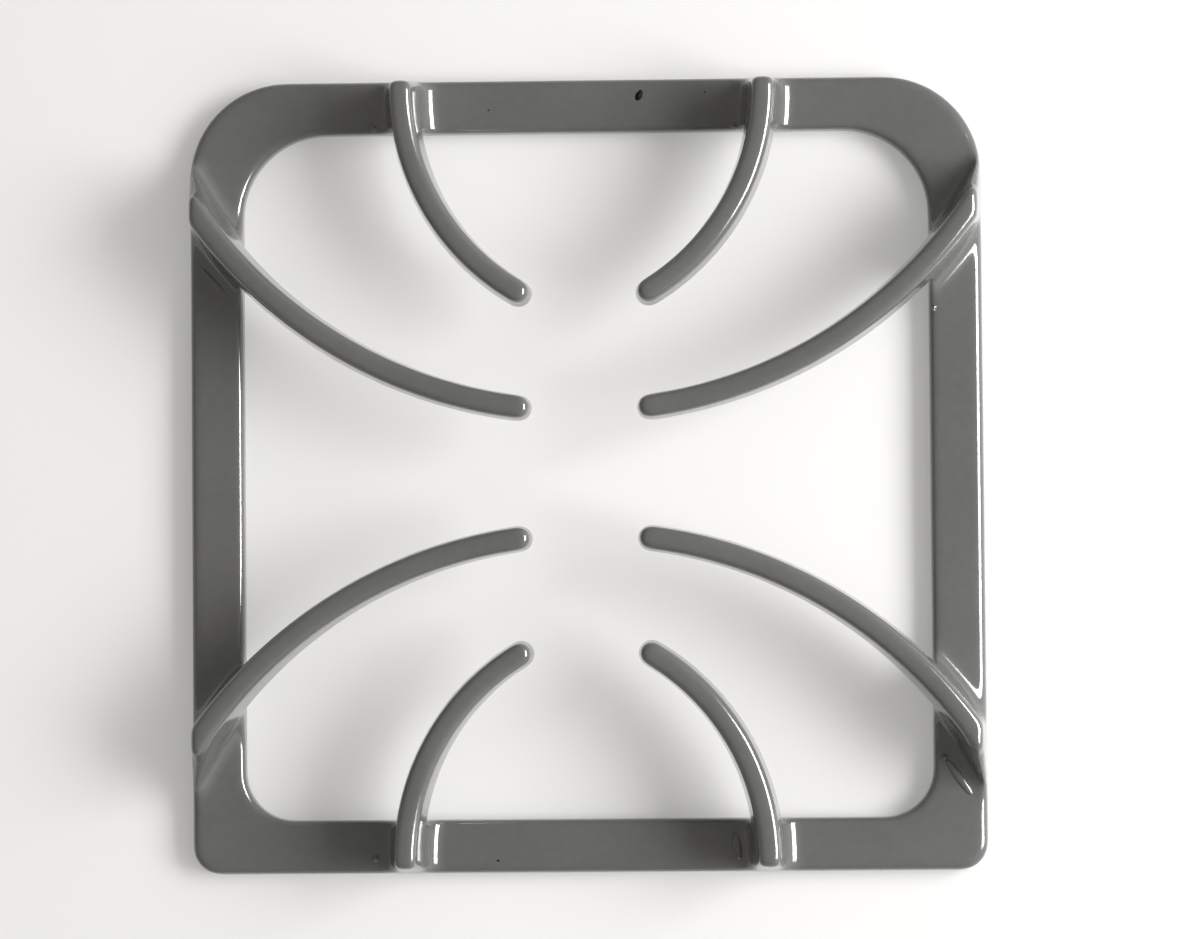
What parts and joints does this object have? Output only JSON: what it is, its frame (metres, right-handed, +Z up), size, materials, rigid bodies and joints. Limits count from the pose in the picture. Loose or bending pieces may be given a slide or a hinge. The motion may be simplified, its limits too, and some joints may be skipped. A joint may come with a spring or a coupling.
{
  "type": "hob pan support",
  "caption": "Square enamelled cast iron frame with raised curved fingers that hold a pan over a gas hob burner.",
  "frame": {"origin": "on the table, under the middle of the square frame", "axes": "+Z up towards the pan, +Y towards the side with the two large corners, +X to the right of it"},
  "size_m": [0.226, 0.226, 0.032],
  "materials": {
    "enamel": "glossy grey porcelain enamel over cast iron"
  },
  "bodies": {
    "root": {"pan_support": "enamel"}
  },
  "joints": []
}
